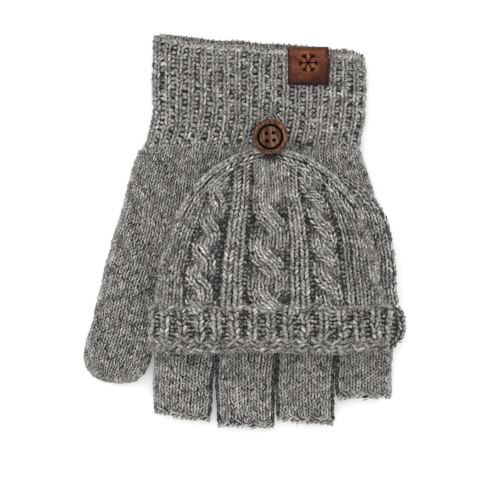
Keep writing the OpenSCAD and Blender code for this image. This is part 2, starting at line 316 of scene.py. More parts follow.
def makeForm(lines, closed, n=192, swayed=True, inset=0.6):  # surface through the lines, for yarn to lie on
    rows, around = zip(*[evenly(l, n, closed) for l in lines])
    points = np.array(rows)
    if swayed:
        points = points + sway(points)
    du = np.roll(points, -1, 1) - np.roll(points, 1, 1) if closed else np.gradient(points, axis=1)
    dv = np.gradient(points, axis=0)
    normals = unit(np.cross(du, dv))
    mid = points[:, n // 4] if closed else points[:, n // 2]
    if (normals[:, n // 4 if closed else n // 2, 2]).mean() < 0:
        normals = -normals
    s = lengthAlong(mid)
    points = points - normals * inset  # leaves room for the yarn that stands on it
    return {"points": points, "normals": normals, "along": unit(dv), "around": np.array(around),
            "length": s[-1], "s": s, "closed": closed}


def onForm(f, u, v):  # u round the form and v along it, both 0 to 1
    points = f["points"]
    nv, nu = points.shape[:2]
    row = np.interp(v * f["length"], f["s"], np.arange(nv))
    i = np.clip(row.astype(int), 0, nv - 2)
    a = (row - i)[:, None]
    if f["closed"]:
        x = (u % 1) * nu
        j = x.astype(int) % nu
        k = (j + 1) % nu
        b = (x - np.floor(x))[:, None]
    else:
        x = np.clip(u, 0, 1) * (nu - 1)
        j = np.clip(x.astype(int), 0, nu - 2)
        k = j + 1
        b = (x - j)[:, None]

    def take(grid):
        near = (1 - b) * grid[i, j] + b * grid[i, k]
        return (1 - a) * near + a * ((1 - b) * grid[i + 1, j] + b * grid[i + 1, k])

    around = np.interp(row, np.arange(nv), f["around"])
    return take(points), unit(take(f["along"])), unit(take(f["normals"])), around


def ringLine(y, xl, xr, z0, z1, p, slope=0.0, step=0.0, warp=0.0, m=240):  # flat rounded ring across the piece
    a = np.linspace(0, 2 * np.pi, m, endpoint=False)
    u, v = signedPower(np.cos(a), 2 / p), signedPower(np.sin(a), 2 / p)
    hw = (xr - xl) / 2
    shift = warp * (2.7 * np.maximum(0, -u) ** 1.15 - 2.2 * np.maximum(0, u) ** 8)
    return np.stack([(xl + xr) / 2 + hw * u, y - slope * hw * u - step * v + shift,
                     (z0 + z1) / 2 + (z1 - z0) / 2 * v], 1)


def archLine(y, xl, xr, z0, z1, p=3.0, m=160):  # the same, open below
    a = np.linspace(0, np.pi, m)
    return np.stack([(xl + xr) / 2 + (xr - xl) / 2 * signedPower(np.cos(a), 2 / p), np.full(m, y),
                     z0 + (z1 - z0) * np.abs(np.sin(a)) ** (2 / p)], 1)


def sheetOn(name, f, top, under, material):  # closed backing between two depths below the form
    points, normals = f["points"], f["normals"]
    step = max(1, points.shape[1] // 48)
    points, normals = points[:, ::step], normals[:, ::step]
    nv, nu = points.shape[:2]
    outer, inner = points + normals * top, points + normals * under
    verts = np.concatenate([outer.reshape(-1, 3), inner.reshape(-1, 3)])
    faces = []
    base = nv * nu
    cols = nu if f["closed"] else nu - 1
    for i in range(nv - 1):
        for j in range(cols):
            k = (j + 1) % nu
            a, b, c, d = i * nu + j, i * nu + k, (i + 1) * nu + k, (i + 1) * nu + j
            faces += [[a, b, c, d], [base + d, base + c, base + b, base + a]]
    for i, flip in ((0, False), (nv - 1, True)):
        for j in range(cols):
            k = (j + 1) % nu
            q = [i * nu + j, base + i * nu + j, base + i * nu + k, i * nu + k]
            faces.append(q[::-1] if flip else q)
    if not f["closed"]:
        for j, flip in ((0, True), (nu - 1, False)):
            for i in range(nv - 1):
                q = [i * nu + j, base + i * nu + j, base + (i + 1) * nu + j, (i + 1) * nu + j]
                faces.append(q[::-1] if flip else q)
    obj = buildMesh(name, verts, np.full(len(faces), 4), np.array(faces).ravel(), material)
    clearSelection()
    bpy.context.view_layer.objects.active = obj
    obj.select_set(True)
    bpy.ops.object.mode_set(mode="EDIT")
    bpy.ops.mesh.select_all(action="SELECT")
    bpy.ops.mesh.normals_make_consistent(inside=False)
    bpy.ops.object.mode_set(mode="OBJECT")
    return obj


def gridCells(f, columns, rows, w, l, h, v0=0.0, v1=1.0, shift=0.0, **more):  # columns and rows on a form
    u = (np.arange(columns) + 0.5 + shift) / columns
    v = v0 + (np.arange(rows) + 0.5) / rows * (v1 - v0)
    uu, vv = (g.ravel() for g in np.meshgrid(u, v))
    p, t, n, around = onForm(f, uu, vv)
    wide = around / columns if w is None else w
    c = cells(p, t, n, wide, l, h, **more)
    return c, uu, vv


def tubeForm(line, r):  # round form about a line
    t = unit(np.gradient(line, axis=0))
    side = unit(np.cross(t, np.array([0, 0, 1.0])))
    up = np.cross(side, t)
    a = np.linspace(0, 2 * np.pi, 24, endpoint=False)[:, None]
    return makeForm([c + r * (np.cos(a) * sd + np.sin(a) * u) for c, sd, u in zip(line, side, up)], True, n=24,
                    inset=0)


def fuzz(name, c, count, reach, material=None):  # loose fibres that stand off the yarn
    pick = rng.integers(0, len(c["at"]), count)
    n, t, b = c["up"][pick], c["way"][pick], c["side"][pick]
    turn = rng.uniform(0, 2 * np.pi, count)[:, None]
    stand = rng.uniform(0.05, 0.75, count)[:, None]
    way = unit((np.cos(turn) * t + np.sin(turn) * b) + stand * n)
    along = rng.uniform(-0.4, 0.4, (count, 1)) * c["long"][pick][:, None]
    aside = rng.uniform(-0.4, 0.4, (count, 1)) * c["wide"][pick][:, None]
    p = c["at"][pick] + along * t + aside * b + 0.12 * c["tall"][pick][:, None] * n
    side = unit(np.cross(way, n))
    thick = rng.uniform(0.04, 0.075, count)
    far = rng.uniform(0.5, 1.3, count) * reach
    hairs = {"at": p, "way": way, "side": side, "up": np.cross(side, way), "wide": thick, "long": far,
             "tall": thick, "tone": c["tone"][pick]}
    return layStitches(name, fibre, hairs, material or heatherWool, spread=0.1, shade=0.06, deep=0)


# a worked cord: its core and the stitches round it


def plied(name, line, r, pitch, legsRound, lean, material, node, body, shade=0.0):
    form = tubeForm(line, r)
    finishPiece(sheetOn(name + "Core", form, -0.12, -r * 0.7, shadeBacking), [node], body=body)
    rows = max(4, round(form["length"] / pitch))
    c, uu, vv = gridCells(form, legsRound, rows, None, pitch * 1.5, 1.5, jitter=0.08)
    odd = (np.arange(len(uu)) % legsRound) % 2
    way = np.where(odd == 0, lean, -lean) if lean < 0.7 else lean - 0.3  # chain below 0.7, twist above
    turned = cells(c["at"], c["way"], c["up"], c["wide"], c["long"], c["tall"], lean=way)
    finishPiece(layStitches(name + "Yarn", singleLeg, turned, material, shade=shade), body=body)
    finishPiece(fuzz(name + "Fuzz", turned, int(form["length"] * 4), 1.8, material), body=body)


def rimCells(f, count, depth, w, l, h, lean=0.5):  # stitches round an open end, facing out of it
    u = (np.arange(count) + 0.5) / count
    p, t, n, _ = onForm(f, u, np.ones(count))
    return cells(p - n * depth, np.cross(t, n), t, w, l, h, lean=lean, jitter=0.08)


def finishPiece(obj, nodes=(), body=None, bend=None):  # hides the CAD nodes it stands for and sets it on the body it rides on, or bakes it in place when bend is given
    if nodes:
        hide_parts(*nodes)
    if bend:
        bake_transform(obj)
    else:
        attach(obj, body)
    return obj


# cuff, 1 by 1 rib
cuffSet = {"columns": 76, "row": 1.72, "rib": 0.32, "slope": 0.045, "step": 1.7, "lipY": 81.3,
           "at": [(0, -56.3, 38.8), (0.11, -53.8, 38.7), (0.27, -51.8, 39.5), (0.66, -50.8, 41.0),
                  (1.0, -50.4, 41.2)]}  # share of the way up, left and right edge
lo, hi = boxOf("cuff")
wristY = lo[1]
handTop = boxOf("hand")[1][2]
cuffTop = hi[2]
cuffLen = cuffSet["lipY"] - wristY
upCuff = np.linspace(0, 1.045, 34)
cuffLeft, cuffRight = smoothRows(cuffSet["at"], upCuff, 0.04)
lines = []
for f, a, b in zip(upCuff, cuffLeft, cuffRight):
    topZ = handTop + (cuffTop - handTop) * min(1, f * 3)
    lines.append(ringLine(wristY + cuffLen * f, a, b, -0.1, topZ, 2.8, cuffSet["slope"] * f,
                          cuffSet["step"] * f, f))
cuffForm = makeForm(lines, True, inset=1.1)
rows = round(cuffForm["length"] / cuffSet["row"])
c, uu, vv = gridCells(cuffForm, cuffSet["columns"], rows, None, cuffSet["row"], 1.0)
fade = np.clip((vv - 0.02) / 0.2, 0, 1)  # ribs die out at the wrist
knit = ((np.arange(len(uu)) % cuffSet["columns"]) % 2 == 0) | (fade + rng.normal(0, 0.12, len(vv)) < 0.15)
knits = keep(c, knit)
proud = (fade * (1 - (np.arange(len(uu)) % cuffSet["columns"]) % 2))[knit]  # rib stitches stand proud
knits["at"] = knits["at"] + knits["up"] * (cuffSet["rib"] * proud)[:, None]
knits["tall"] = knits["tall"] * 2.4
knits["wide"] = knits["wide"] * (1 + 0.34 * proud)
finishPiece(layStitches("cuffRibs", ribV, knits, heatherWool), body="mitten")
purls = keep(c, ~knit)
leans = rng.normal(0, 0.35, len(purls["at"]))
purls = cells(purls["at"], purls["way"], purls["up"], purls["wide"] * 1.02, purls["long"] * 1.2, 2.3,
              lean=leans, lift=0.02, jitter=0.12)
finishPiece(layStitches("cuffPurls", purlBar, purls, heatherWool, shade=-0.02), body="mitten")
finishPiece(fuzz("cuffFuzz", knits, 15000, 2.8), body="mitten")
cuffBacking = sheetOn("cuffInside", cuffForm, -0.5, -2.0, shadeBacking)
finishPiece(cuffBacking, ["cuff", "cuff_edge"], body="mitten")
lining, uu, vv = gridCells(cuffForm, cuffSet["columns"], 14, None, cuffSet["row"], 2.2, v0=0.52, v1=1.005)
lining["at"], lining["up"], lining["side"] = lining["at"] - lining["up"] * 1.9, -lining["up"], -lining["side"]
finishPiece(layStitches("cuffLining", knitV, lining, heatherWool, shade=0.02), body="mitten")
print("cuff done")

# hand, stocking stitch
handSet = {"wale": 2.5, "row": 1.5, "thumbAt": (-57.0, -14.0), "thumbR": 14.4,
           "at": [(-46, -78, 51.4), (-34, -76, 51), (-22, -74.4, 50), (-14, -72.2, 49.2),
                  (-3.9, -69.4, 48.4), (8.6, -65.8, 46.9), (22.4, -61.5, 44.3), (30, -59.4, 41.6),
                  (38, -56.3, 38.8), (39, -56, 38.8)],  # y, left and right edge with the thumb's root
           "shell": [(-46, -49.4, 51.4), (-34, -46.8, 51), (-22, -43.5, 50), (-17.8, -43.4, 49.6),
                     (-14, -50, 49.2), (-8, -60, 48.7), (-3.9, -68.6, 48.4), (8.6, -65.8, 46.9),
                     (22.4, -61.5, 44.3), (30, -59.4, 41.6), (38, -56.3, 38.8)]}  # the same without it
ys = np.linspace(boxOf("hand")[0][1] + 0.4, wristY + 0.5, 44)
handLeft, handRight = smoothRows(handSet["at"], ys, 2.0)
handForm = makeForm([ringLine(y, a, b, -0.1, handTop, 3.0) for y, a, b in zip(ys, handLeft, handRight)], True)
cols = round(handForm["around"].mean() / handSet["wale"] / 2) * 2
rows = round(handForm["length"] / handSet["row"])
c, uu, vv = gridCells(handForm, cols, rows, None, handSet["row"], 2.3, lift=0.05)
away = np.hypot(c["at"][:, 0] - handSet["thumbAt"][0], c["at"][:, 1] - handSet["thumbAt"][1])
seamX = -44.6 + (c["at"][:, 1] + 22) * 0.268  # thumb's inner side
isHand = (away > handSet["thumbR"] - 1.0) & ~((c["at"][:, 1] < -14) & (c["at"][:, 0] < seamX + 0.8)) \
    & ~((c["at"][:, 1] < -3) & (c["at"][:, 0] < -60))
c = keep(c, isHand)
top = c["up"][:, 2] > -0.2
finishPiece(layStitches("handBack", knitV, keep(c, top), heatherWool), body="mitten")
finishPiece(layStitches("handPalm", knitV, keep(c, ~top), heatherWool), body="mitten")
finishPiece(fuzz("handFuzz", c, 14000, 2.6), body="mitten")
shell = np.array(handSet["shell"])
handLeft, handRight = (np.interp(ys, shell[:, 0], shell[:, k]) for k in (1, 2))
shellForm = makeForm([ringLine(y, a, b, -0.1, handTop, 3.0) for y, a, b in zip(ys, handLeft, handRight)], True)
finishPiece(sheetOn("handInside", shellForm, -0.5, -2.0, shadeBacking), ["hand"], body="mitten")
print("hand done", cols, rows)

# fingers
fingerSet = {"row": 1.5, "columns": 22, "wall": 1.9, "edge": 2.8, "knuckleY": -42.0,
             "indexRoot": (1.68, 1.545),  # how far its root lies right of its end, at each side
             "tipSlope": {"index": 0.12, "middle": 0.05, "ring": 0.05, "little": -0.02},
             "splay": {"index": 0.05, "middle": 0.0, "ring": 0.0, "little": -0.02}}
knuckleY = fingerSet["knuckleY"]
for name, splay in fingerSet["splay"].items():
    lo, hi = boxOf(name + "_finger")
    tipLo, tipHi = boxOf(name + "_edge")
    midZ = (lo[2] + hi[2]) / 2
    halfHigh = (hi[2] - lo[2]) / 2
    rootL = tipLo[0] - splay * (tipLo[1] - knuckleY)
    rootR = tipHi[0] - splay * (tipLo[1] - knuckleY)
    if name == "index":
        rootL, rootR = tipLo[0] + fingerSet["indexRoot"][0], tipHi[0] + fingerSet["indexRoot"][1]
    ys = np.linspace(tipLo[1] + fingerSet["edge"] - 0.6, knuckleY + 4.4, 26)
    slant = fingerSet["tipSlope"][name]
    wider = 0.6 * np.clip((ys - ys[0]) / 24, 0, 1)
    lines = []
    for y, q in zip(ys, wider):
        aside = splay * (y - knuckleY)
        lines.append(ringLine(y, rootL + aside - q, rootR + aside + q, midZ - halfHigh, midZ + halfHigh, 2.6,
                              slant * max(0, min(1, (knuckleY - y) / 25))))
    form = makeForm(lines, True, n=96, inset=0.25)
    rows = round(form["length"] / fingerSet["row"])
    c, uu, vv = gridCells(form, fingerSet["columns"], rows, None, fingerSet["row"], 2.0, lift=-0.1)
    c["tone"] += 0.018 - 0.13 * np.clip(1 - vv * form["length"] / 2.6, 0, 1)  # painted shadow in the crease above the rolled edge
    inward = {"index": c["up"][:, 0], "little": -c["up"][:, 0]}.get(name, np.abs(c["up"][:, 0]))
    c["tone"] -= 0.17 * np.clip((inward - 0.55) / 0.35, 0, 1)  # sides that lie in each other's shade
    bend = ("mitten", name, (0, (knuckleY + 2.5) * mm, 0), (0, (knuckleY - 3.5) * mm, 0))  # points by the knuckle; finishPiece only bakes the pieces in place
    finishPiece(layStitches(name + "Knit", knitV, c, heatherWool), [name + "_finger"], bend=bend)
    finishPiece(fuzz(name + "Fuzz", c, 1800, 2.6), bend=bend)
    back = sheetOn(name + "Inside", form, -0.5, -fingerSet["wall"], shadeBacking)
    finishPiece(back, bend=bend)
    ys = tipLo[1] + np.array([0.1, 1.0, 2.0, 3.0, 3.6])
    out = np.array([-0.35, 0.3, 0.4, 0.1, -0.2])
    tipForm = makeForm([ringLine(y, tipLo[0] - o * 0.4 + 0.2, tipHi[0] + o * 0.4 - 0.2, midZ - halfHigh - o,
                                 midZ + halfHigh + o, 2.6, slant) for y, o in zip(ys, out)], True, n=96)
    around = tipForm["around"].mean()
    k = round(around / 2.0)
    a, _, _ = gridCells(tipForm, k, 1, 2.0, 2.6, 2.2, v0=0.0, v1=0.5, lean=1.05)
    b, _, _ = gridCells(tipForm, k, 1, 2.0, 2.6, 2.2, v0=0.5, v1=1.0, lean=-0.95, shift=0.5)
    for part in (a, b):  # the rolled edge waves a little
        part["at"][:, 1] += 0.35 * np.sin(part["at"][:, 0] * 1.3 + 2) + rng.normal(0, 0.15, len(part["at"]))
    a["tone"] += 0.05
    c = rimCells(tipForm, round(around / 2.4), 0.8, 1.7, 2.6, 2.0)
    rolled = layStitches(name + "EdgeKnit", singleLeg, together(a, b, c), heatherWool)
    finishPiece(rolled, [name + "_edge"], body=name)
    finishPiece(fuzz(name + "EdgeFuzz", a, 200, 2.2), body=name)
    rim = sheetOn(name + "EdgeInside", tipForm, -0.4, -1.7, shadeBacking)
    finishPiece(rim, body=name)
print("fingers done")

# thumb
thumbSet = {"row": 1.55, "columns": 27, "lean": 15.0, "length": 49.0, "half": 14.3, "height": 11.7,
            "roundFrom": 0.72, "narrow": 22}
shares = np.concatenate([1 - 0.2 * (1 - np.linspace(0, 1, 14)[::-1]) ** 2, np.linspace(0.78, -0.26, 30)])
shares = np.sort(shares)[::-1]
roundFrom = thumbSet["roundFrom"]
closing = np.clip((shares - roundFrom) / (1 - roundFrom), 0, 1)
widths = np.where(shares > roundFrom, np.maximum(0.06, 1 - closing ** 2.6) ** (1 / 2.2), 1.0)
turn = math.radians(-thumbSet["lean"])
lines = []
for s, w in zip(shares, widths):
    hw = thumbSet["half"] * w
    halfHigh = (thumbSet["height"] / 2 - 0.2) * (0.3 + 0.7 * w)
    midZ = thumbSet["height"] / 2 + 0.1
    line = ringLine(-thumbSet["length"] * s, -hw, hw, midZ - halfHigh, midZ + halfHigh, 2.6)
    x = line[:, 0] * math.cos(turn) - line[:, 1] * math.sin(turn) + handSet["thumbAt"][0]
    y = line[:, 0] * math.sin(turn) + line[:, 1] * math.cos(turn) + handSet["thumbAt"][1]
    lines.append(np.stack([x, y, line[:, 2]], 1))
thumbForm = makeForm(lines, True)
rows = round(thumbForm["length"] / thumbSet["row"])
c, uu, vv = gridCells(thumbForm, thumbSet["columns"], rows, None, thumbSet["row"], 2.2, lift=-0.05)
around = np.interp(vv * thumbForm["length"], thumbForm["s"], thumbForm["around"])
enough = around > thumbSet["narrow"]
few = (np.arange(len(uu)) % thumbSet["columns"]) % 2 == 0
c = keep(c, enough | few)
tipRows = (-4.2, -2.7, -1.2, 0.3, 1.8, 3.3, 4.6)
tipX, tipZ = (g.ravel() for g in np.meshgrid(np.arange(-10.5, 10.6, 1.75), tipRows))
share = roundFrom + (1 - roundFrom) * (1 - (np.abs(tipX) / thumbSet["half"]) ** 2.2) ** (1 / 2.6)
# stitches that close the tip, in the thumb's own axes
local = np.stack([tipX, -thumbSet["length"] * share + 0.5 + 0.075 * tipZ ** 2,
                  thumbSet["height"] / 2 + tipZ * (1 - (tipX / 16) ** 2)], 1)
face = unit(np.stack([tipX / 12, -np.ones(len(tipX)), tipZ / 6], 1))


def leaned(a):  # thumb's own axes to the frame
    x = a[:, 0] * math.cos(turn) - a[:, 1] * math.sin(turn)
    y = a[:, 0] * math.sin(turn) + a[:, 1] * math.cos(turn)
    return np.stack([x, y, a[:, 2]], 1)


local = leaned(local) + np.array([handSet["thumbAt"][0], handSet["thumbAt"][1], 0])
upward = np.tile([0.3, 0, 1.0], (len(tipX), 1))
tip = cells(local + sway(local), leaned(upward), leaned(face), 2.5, 2.3, 2.0, jitter=0.08)
c = together(c, tip)
facing = np.clip((c["up"][:, 0] - 0.5) / 0.4, 0, 1)  # side that lies in the cap's shade
c["tone"] -= 0.1 * facing * np.clip((-30 - c["at"][:, 1]) / 15, 0, 1)
thumbBend = ("mitten", "thumb_part", (-54.5 * mm, -4.5 * mm, 0), (-60 * mm, -25 * mm, 0))  # points by the gusset; finishPiece only bakes the pieces in place
finishPiece(layStitches("thumbKnit", knitV, c, heatherWool), ["thumb"], bend=thumbBend)
finishPiece(fuzz("thumbFuzz", c, 3600, 2.7), bend=thumbBend)
finishPiece(sheetOn("thumbInside", thumbForm, -0.5, -2.2, shadeBacking), bend=thumbBend)
print("thumb done")

# cap front with cables
capSet = {"row": 1.8, "half": 49.6, "centre": -0.8, "wall": 2.6, "straightAbove": 20.0}
brimLo, brimHi = boxOf("cap_brim")
frontLo, frontHi = boxOf("cap_front")
chainLo, chainHi = boxOf("cap_chain")
foot = frontLo[2]
crownY = frontHi[1] + 0.9
y0 = brimLo[1]


def dome(t, a=2.6):  # 1 at the start, 0 at the end and round between
    return np.sqrt(np.maximum(0, 1 - np.clip(t, 0, 1) ** a))


def capT(y):  # share of the way from the brim to the crown
    return (y - y0) / (crownY + 0.6 - y0)


def capHalf(y):  # half the cap's width
    return capSet["half"] * dome(capT(y))


def capRise(y):  # how high the middle stands over the cap's foot
    crownDip = 1.4 * np.clip((y - 35.2) / 3, 0, 1)
    return 0.5 + (frontHi[2] - foot - capSet["wall"] - 0.5) * dome(capT(y), 3.4) + 2.2 - crownDip


ys = np.concatenate([np.linspace(brimHi[1] - 2.0, 25, 34), np.linspace(25.6, crownY - 0.2, 30)])
capForm = makeForm([archLine(y, capSet["centre"] - capHalf(y), capSet["centre"] + capHalf(y), foot - 1.5,
                             foot + capRise(y)) for y in ys], False)
finishPiece(sheetOn("capInside", capForm, -1.0, -1.5, shadeBacking), ["cap_front"], body="cap")
edgeY = y0 + (crownY + 0.6 - y0) * np.sin(np.linspace(0, 1, 160) * np.pi / 2)
outline = np.concatenate([np.stack([capSet["centre"] + capHalf(edgeY), edgeY], 1),
                          np.stack([capSet["centre"] - capHalf(edgeY), edgeY], 1)[::-1]])


def fromEdge(p):  # distance in plan from the cap's outline
    return np.sqrt(((p[:, None, :2] - outline[None]) ** 2).sum(2).min(1))


# s runs across from the middle, columns draw together above a height and stop short of the border


def capCells(s, y, w, l, h, lean=0.0, lift=0.0, edge=1.5, jitter=0.05, crown=4.9, tone=0.0):
    s, y = np.broadcast_arrays(np.asarray(s, float), np.asarray(y, float))
    v = np.interp(y, ys, capForm["s"]) / capForm["length"]
    size = np.interp(y, ys, capForm["around"])
    ref = np.interp(-22.0, ys, capForm["around"])
    stay = np.interp(np.minimum(y, capSet["straightAbove"]), ys, capForm["around"])
    scale = stay / ref
    u = 0.5 - s * scale / size
    p, t, n, _ = onForm(capForm, u, v)
    need = edge + (crown - edge) * np.clip((y - 8) / 9, 0, 1)
    ok = (np.abs(s * scale) < size / 2 - edge) & (fromEdge(p) > need * np.clip(y / 8, 0, 1))
    ww = np.asarray(w) * scale
    c = cells(p, t, n, ww, l, h, lean=lean, lift=lift, jitter=jitter, tone=tone)
    return keep(c, ok)


rowsY = np.arange(brimHi[1] - 1.4, crownY - 1.0, capSet["row"])
# plain and purl columns from side to side: place across, width and how far they stand proud
plain, bumps = [], []
for s, w, lift in [(-51.5, 3.2, -0.3), (-48.2, 3.3, -0.2), (-44.9, 3.3, -0.1), (-41.6, 3.3, 0.0),
                   (-38.3, 3.2, 0.0), (-18.2, 4.7, 0.35), (-13.5, 4.7, 0.35), (11.2, 4.3, 0.35),
                   (15.5, 4.3, 0.35), (35.2, 3.3, 0.0), (38.9, 3.3, 0.0), (42.2, 3.3, -0.1),
                   (45.5, 3.3, -0.2), (48.8, 3.3, -0.3)]:
    plain.append(capCells(np.full(len(rowsY), s), rowsY, w, capSet["row"], 2.8, lift=lift, jitter=0.03,
                          tone=-0.035 if abs(s) > 30 else 0.0))
for s, w in [(-36.2, 1.8), (-34.2, 1.8), (-24.6, 1.8), (-22.6, 1.8), (-20.4, 1.8), (-10.6, 2.0),
             (-8.6, 2.0), (-6.4, 2.0), (6.3, 2.0), (8.4, 2.0), (10.0, 1.8), (18.6, 1.8), (20.6, 1.8),
             (30.6, 1.8), (33.0, 1.8)]:
    bumps.append(capCells(np.full(len(rowsY), s), rowsY, w, capSet["row"], 2.0, lift=-0.85, jitter=0.14))
# place across, stitches in a strand, their width, a strand's swing, first crossing, spacing, rise
cables = {"left": (-29.4, 2, 3.25, 3.0, 17.7, 12.1, 1.9), "middle": (-0.3, 3, 3.1, 4.4, 8.6, 18.6, 2.2),
          "right": (25.4, 2, 3.3, 3.0, 18.2, 12.2, 1.9)}
for name, (s0, wales, wale, reach, first, pitch, rise) in cables.items():
    for strand in (0, 1):
        yy = np.linspace(brimHi[1] - 2.5, crownY, 900)
        turnAt = np.maximum(first + pitch / 2 - yy, 0) * np.pi / pitch + np.pi * strand
        swing, high = np.cos(turnAt), rise * np.sin(turnAt)
        mid = -reach * swing * (1.5 - 0.5 * swing ** 2)
        along = np.concatenate([[0], np.cumsum(np.hypot(np.diff(mid), np.diff(yy)))])
        at = np.arange(0.3, along[-1], capSet["row"])
        y, m, h = (np.interp(at, along, q) for q in (yy, mid, high))
        dm, dy = (np.interp(at, along, np.gradient(q, along)) for q in (mid, yy))
        for k in range(wales):
            off = (k - (wales - 1) / 2) * wale
            arch = 1.9 * (2 * abs(off) / (wales * wale)) ** 2
            # painted shade: strands darker where they pass under and towards their edges, a little lighter on
            # top
            tone = 0.04 + 0.15 * np.minimum(h / rise, 0) - 0.05 * arch
            plain.append(capCells(s0 + m + off * dy, y - off * dm + 0.3 * (k % 2), wale * 1.02,
                                  capSet["row"] * 1.02, 2.8, lean=np.arctan2(dm, dy), lift=0.9 + h - arch,
                                  tone=tone))
buttonLow, buttonHigh = boxOf("button")
buttonMid = (buttonLow + buttonHigh) / 2


def underButton(c):  # leaves room for the button to tilt
    away = np.hypot(c["at"][:, 0] - buttonMid[0], c["at"][:, 1] - buttonMid[1])
    low = buttonLow[2] - 3.3 + 0.9 * np.maximum(0, away - 8.6)
    c["at"][:, 2] = np.where(away < 11.5, np.minimum(c["at"][:, 2], low), c["at"][:, 2])
    return keep(c, away > 4.8)


knitCells = underButton(together(*plain))
capKnit = layStitches("capFrontKnit", thickV, knitCells, heatherThick, deep=0.14)
finishPiece(capKnit, body="cap")
capPurl = layStitches("capFrontPurl", purlBar, together(*bumps), heatherThick, shade=-0.1, spread=0.07)
finishPiece(capPurl, body="cap")
finishPiece(fuzz("capFuzz", knitCells, 14000, 2.8, heatherThick), body="cap")

# decrease stitches that follow the crown


def onCap(x, y):  # top of the cap straight above a point
    half = capHalf(y)
    xi = np.clip(np.abs(x - capSet["centre"]) / np.maximum(half, 0.1), 0, 0.995)
    return foot - 1.5 + (capRise(y) + 1.5) * (1 - xi ** 3) ** (1 / 3)


def crownLine(inset, gap):  # line kept at a distance inside the outline, right side up and over
    t = unit(np.gradient(outline, axis=0))
    inward = np.stack([-t[:, 1], t[:, 0]], 1)
    line = outline + inset * inward
    line = line[line[:, 1] > 9]
    dist = lengthAlong(line)
    at = np.arange(0.4, dist[-1], gap)
    return np.interp(at, dist, line[:, 0]), np.interp(at, dist, line[:, 1])


border = []
for inset, lift in ((2.0, 0.4), (4.7, 0.45)):
    x, y = crownLine(inset, 2.5)
    e = 0.3
    slopeX = (onCap(x + e, y) - onCap(x - e, y)) / (2 * e)
    slopeY = (onCap(x, y + e) - onCap(x, y - e)) / (2 * e)
    n = unit(np.stack([-slopeX, -slopeY, np.ones(len(x))], 1))
    t = np.stack([np.gradient(x), np.gradient(y), np.zeros(len(x))], 1)
    t = np.where(t[:, 1:2] < 0, -t, t)
    p = np.stack([x, y, onCap(x, y)], 1)
    border.append(cells(p + sway(p), t, n, 3.0, 2.5, 2.9, lift=lift, lean=0.2 * np.sign(x - capSet["centre"])))
for inset, z in ((0.9, chainHi[2] + 0.9), (1.4, chainHi[2] + 2.5)):  # side wall above the chain
    x, y = crownLine(inset, 2.3)
    t = unit(np.stack([np.gradient(x), np.gradient(y), np.zeros(len(x))], 1))
    n = unit(np.stack([t[:, 1] * 0.85, -t[:, 0] * 0.85, np.full(len(x), 0.5)], 1))
    t = np.where(t[:, 1:2] < 0, -t, t)
    border.append(cells(np.stack([x, y, np.full(len(x), z)], 1), t, n, 2.8, 2.3, 2.2))
border = underButton(together(*border))
finishPiece(layStitches("crownStitches", thickV, border, heatherThick), body="cap")
print("cap front done")

# brim, folded 1 by 1 rib
brimSet = {"pitch": 7.4, "row": 1.8, "chainRows": 3}
brimYs = np.linspace(brimLo[1] + 0.2, brimHi[1] + 0.4, 16)
puff = 0.9 * np.sqrt(np.maximum(0, 1 - ((brimYs - brimYs.mean()) / (brimYs[-1] - brimYs.mean())) ** 4))
brimForm = makeForm([archLine(y, brimLo[0] + 0.8 - q, brimHi[0] - 0.8 + q, brimLo[2] + 0.3, brimHi[2] - 0.9 + q)
                     for y, q in zip(brimYs, puff)], False)
brimBacking = sheetOn("brimInside", brimForm, -1.3, -2.1, shadeBacking)
finishPiece(brimBacking, ["cap_brim"], body="cap")
ribs = int(brimForm["around"].mean() / brimSet["pitch"])
ribU = (np.arange(ribs) + 0.5) / ribs
rowsV = np.arange(5.6, brimForm["length"] - 0.4, brimSet["row"]) / brimForm["length"]
uu, vv = (g.ravel() for g in np.meshgrid(ribU, rowsV))
p, t, n, _ = onForm(brimForm, uu, vv)
ribCells = cells(p, t, n, 5.0, brimSet["row"], 2.9, lift=0.4, jitter=0.05, tone=-0.025)
trough = ribU[:-1] + 0.5 / ribs
sides = np.concatenate([trough - 0.13 / ribs, trough + 0.13 / ribs])
uu, vv = (g.ravel() for g in np.meshgrid(sides, rowsV))
p, t, n, _ = onForm(brimForm, uu, vv)
purlCells = cells(p, t, n, 2.5, brimSet["row"], 2.2, lift=-0.85, lean=rng.normal(0, 0.25, len(p)), jitter=0.1)
finishPiece(layStitches("brimRibs", ribV, ribCells, heatherThick), body="cap")
brimPurls = layStitches("brimPurls", purlBar, purlCells, heatherThick, shade=-0.05, spread=0.05)
finishPiece(brimPurls, body="cap")
wavy = []
for k in range(brimSet["chainRows"]):  # bars of the turned edge
    count = int(brimForm["around"].mean() / 3.0)
    u = (np.arange(count) + 0.5 + 0.5 * (k % 2)) / count
    u = u[u < 1]
    p, t, n, _ = onForm(brimForm, u, np.full(len(u), (0.8 + 1.8 * k) / brimForm["length"]))
    lean = math.pi / 2 + np.where(np.arange(len(u)) % 2 == 0, 0.5, -0.5)
    wavy.append(cells(p, t, n, 3.1, 2.9, 3.2, lean=lean, lift=0.3, jitter=0.07))
    p, t, n, _ = onForm(brimForm, (u + 0.5 / count) % 1, np.full(len(u), (1.2 + 1.8 * k) / brimForm["length"]))
    # painted shade: the sunken bars between the upper bars are darker
    wavy.append(cells(p, t, n, 2.2, 1.9, 2.2, lean=0.3, lift=-0.5, jitter=0.09, tone=-0.08))
for offset, lean in ((-0.17 / ribs, -0.95), (0.17 / ribs, 0.95)):  # loops over the fold
    p, t, n, _ = onForm(brimForm, trough + offset, np.full(len(trough), 1 - 0.9 / brimForm["length"]))
    wavy.append(cells(p, t, n, 2.7, 2.6, 3.2, lean=lean, lift=0.3, jitter=0.06))
p, t, n, _ = onForm(brimForm, ribU, np.full(len(ribU), 1 - 0.5 / brimForm["length"]))
